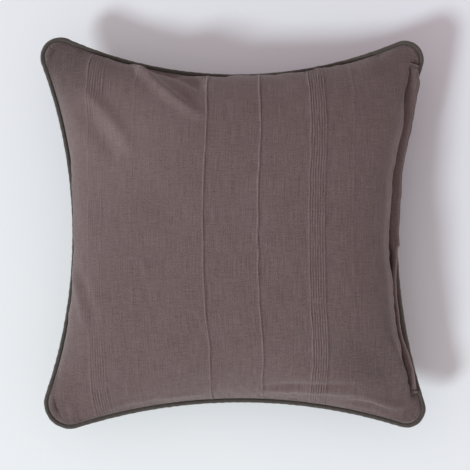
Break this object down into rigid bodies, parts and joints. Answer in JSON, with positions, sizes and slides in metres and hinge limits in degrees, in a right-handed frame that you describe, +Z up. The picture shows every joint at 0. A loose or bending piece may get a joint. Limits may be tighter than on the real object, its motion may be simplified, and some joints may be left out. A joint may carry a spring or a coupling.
{
  "type": "throw pillow",
  "caption": "Square filled throw pillow with a piped edge, rib-striped cloth, a lapped side zip and a separate inner pad.",
  "frame": {"origin": "centre of the bounding box's base, on the surface the pillow lies on", "axes": "+Z up through the crowned face; +X to the zip side; +Y to the face's top edge"},
  "size_m": [0.4432, 0.4504, 0.142],
  "materials": {
    "cover_cloth": "matte",
    "piping_cloth": "matte",
    "cord_cotton": "matte",
    "sewing_thread": "satin",
    "label_cloth": "satin",
    "zip_tape": "matte",
    "zip_teeth": "satin",
    "zip_metal": "satin",
    "pad_cloth": "matte",
    "pad_fibre": "matte",
    "pad_thread": "satin"
  },
  "bodies": {
    "cushion": {"front_panel": "cover_cloth", "back_panel": "cover_cloth", "piping_cover": "piping_cloth", "piping_cord": "cord_cotton", "seam_stitching": "sewing_thread", "overlock_edging": "sewing_thread", "care_label": "label_cloth", "flap_bar_tacks": "sewing_thread", "flap_stitching": "sewing_thread", "zip_tape_outer": "zip_tape", "zip_tape_inner": "zip_tape", "zip_teeth_outer": "zip_teeth", "zip_teeth_inner": "zip_teeth", "zip_top_stop": "zip_metal", "zip_bottom_stop": "zip_metal", "pad_casing_front": "pad_cloth", "pad_casing_back": "pad_cloth", "pad_filling": "pad_fibre", "pad_seam_stitching": "pad_thread"},
    "slider": {"zip_slider": "zip_metal"},
    "pull_tab": {"zip_pull_tab": "zip_metal"},
    "flap": {"zip_flap": "cover_cloth"}
  },
  "joints": [
    {"name": "zip_travel", "type": "hinge", "parent": "cushion", "child": "slider", "pos_m": [0.8294, 0.00213, 0.066], "axis": [0, 0, -1], "range_deg": [0, 29.3]},
    {"name": "flap_lift", "type": "hinge", "parent": "cushion", "child": "flap", "pos_m": [0.17081, 0.00443, 0.07], "axis": [-0.0035, -1, 0], "range_deg": [0, 45], "deforming": ["zip_flap"]},
    {"name": "tab_swing", "type": "hinge", "parent": "slider", "child": "pull_tab", "pos_m": [0.2001, -0.16649, 0.07195], "axis": [0.9659, 0.2588, 0], "range_deg": [0, 16]}
  ],
  "couplings": [
    {"joint": "tab_swing", "follows": "flap_lift", "ratio": 0.35}
  ]
}
